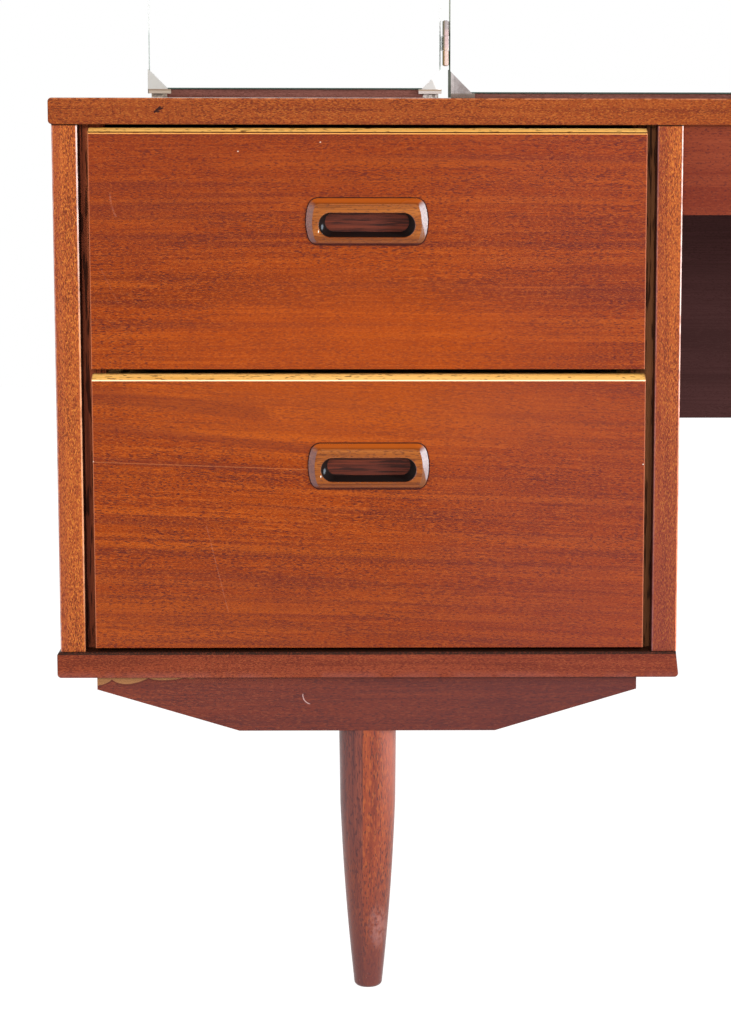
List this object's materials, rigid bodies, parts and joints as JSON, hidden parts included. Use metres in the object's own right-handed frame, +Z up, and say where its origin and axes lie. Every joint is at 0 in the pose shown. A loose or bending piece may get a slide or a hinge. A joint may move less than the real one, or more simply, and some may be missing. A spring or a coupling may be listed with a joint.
{
  "type": "pedestal dressing desk with folding mirror",
  "caption": "Mid-century double-pedestal desk in red-brown wood, with sliding drawers, inset wooden pulls, tapered turned legs on trapezoid bearers and a folding triple mirror.",
  "frame": {"origin": "middle of the bounding box, on the floor", "axes": "+X along the width to the right, +Y from the drawer fronts to the back, +Z up"},
  "size_m": [1.521, 0.4494, 1.2],
  "materials": {
    "veneered_board": "satin lacquered red-brown veneer",
    "edge_lipping": "satin lacquered, speckled upright grain",
    "drawer_front": "satin lacquered ribbon-striped veneer, pale wood on the bevelled top edge",
    "dark_stile": "dark stained",
    "underframe": "satin lacquered solid wood",
    "kneehole_wood": "satin lacquered",
    "modesty_wood": "dark stained",
    "pull_wood": "glossy golden-brown hardwood",
    "drawer_box_wood": "plain sealed softwood",
    "plywood": "raw plywood",
    "mirror_board_wood": "dark brown lacquered plywood",
    "mirror_glass": "polished silvered glass with ground edges",
    "clip_metal": "satin",
    "hinge_brass": "plated, slightly dulled",
    "screw_steel": "plain"
  },
  "bodies": {
    "desk": {"desk_top": "veneered_board", "left_outer_side": "edge_lipping", "left_inner_side": "edge_lipping", "left_base_board": "veneered_board", "left_pedestal_back": "plywood", "left_guide_stiles": "dark_stile", "left_drawer_runners": "drawer_box_wood", "left_front_bearer": "underframe", "left_front_leg": "underframe", "left_rear_bearer": "underframe", "left_rear_leg": "underframe", "left_mirror_post": "underframe", "right_outer_side": "edge_lipping", "right_inner_side": "edge_lipping", "right_base_board": "veneered_board", "right_pedestal_back": "plywood", "right_guide_stiles": "dark_stile", "right_drawer_runners": "drawer_box_wood", "right_front_bearer": "underframe", "right_front_leg": "underframe", "right_rear_bearer": "underframe", "right_rear_leg": "underframe", "right_mirror_post": "underframe", "kneehole_rail": "kneehole_wood", "modesty_panel": "modesty_wood", "leg_bolts": "screw_steel", "centre_mirror_board": "mirror_board_wood", "centre_mirror_glass": "mirror_glass", "centre_mirror_clips": "clip_metal", "centre_hinge_leaves": "hinge_brass", "hinge_pins": "hinge_brass", "wood_screws": "screw_steel"},
    "left_upper_drawer": {"left_upper_drawer_front": "drawer_front", "left_upper_drawer_pull": "pull_wood", "left_upper_drawer_sides": "drawer_box_wood", "left_upper_drawer_back": "drawer_box_wood", "left_upper_drawer_bottom": "plywood"},
    "left_lower_drawer": {"left_lower_drawer_front": "drawer_front", "left_lower_drawer_pull": "pull_wood", "left_lower_drawer_sides": "drawer_box_wood", "left_lower_drawer_back": "drawer_box_wood", "left_lower_drawer_bottom": "plywood"},
    "left_wing": {"left_wing_board": "mirror_board_wood", "left_wing_glass": "mirror_glass", "left_wing_clips": "clip_metal", "left_wing_hinge_leaves": "hinge_brass"},
    "right_upper_drawer": {"right_upper_drawer_front": "drawer_front", "right_upper_drawer_pull": "pull_wood", "right_upper_drawer_sides": "drawer_box_wood", "right_upper_drawer_back": "drawer_box_wood", "right_upper_drawer_bottom": "plywood"},
    "right_lower_drawer": {"right_lower_drawer_front": "drawer_front", "right_lower_drawer_pull": "pull_wood", "right_lower_drawer_sides": "drawer_box_wood", "right_lower_drawer_back": "drawer_box_wood", "right_lower_drawer_bottom": "plywood"},
    "right_wing": {"right_wing_board": "mirror_board_wood", "right_wing_glass": "mirror_glass", "right_wing_clips": "clip_metal", "right_wing_hinge_leaves": "hinge_brass"}
  },
  "joints": [
    {"name": "left_upper_drawer_slide", "type": "slide", "parent": "desk", "child": "left_upper_drawer", "axis": [0, -1, 0], "range_m": [0, 0.28]},
    {"name": "left_lower_drawer_slide", "type": "slide", "parent": "desk", "child": "left_lower_drawer", "axis": [0, -1, 0], "range_m": [0, 0.28]},
    {"name": "right_upper_drawer_slide", "type": "slide", "parent": "desk", "child": "right_upper_drawer", "axis": [0, -1, 0], "range_m": [0, 0.28]},
    {"name": "right_lower_drawer_slide", "type": "slide", "parent": "desk", "child": "right_lower_drawer", "axis": [0, -1, 0], "range_m": [0, 0.28]},
    {"name": "left_wing_swing", "type": "hinge", "parent": "desk", "child": "left_wing", "pos_m": [-0.4511, 0.19325, 0.755], "axis": [0, 0, 1], "range_deg": [-15, 150]},
    {"name": "right_wing_swing", "type": "hinge", "parent": "desk", "child": "right_wing", "pos_m": [0.4511, 0.19325, 0.755], "axis": [0, 0, -1], "range_deg": [-15, 150]}
  ]
}
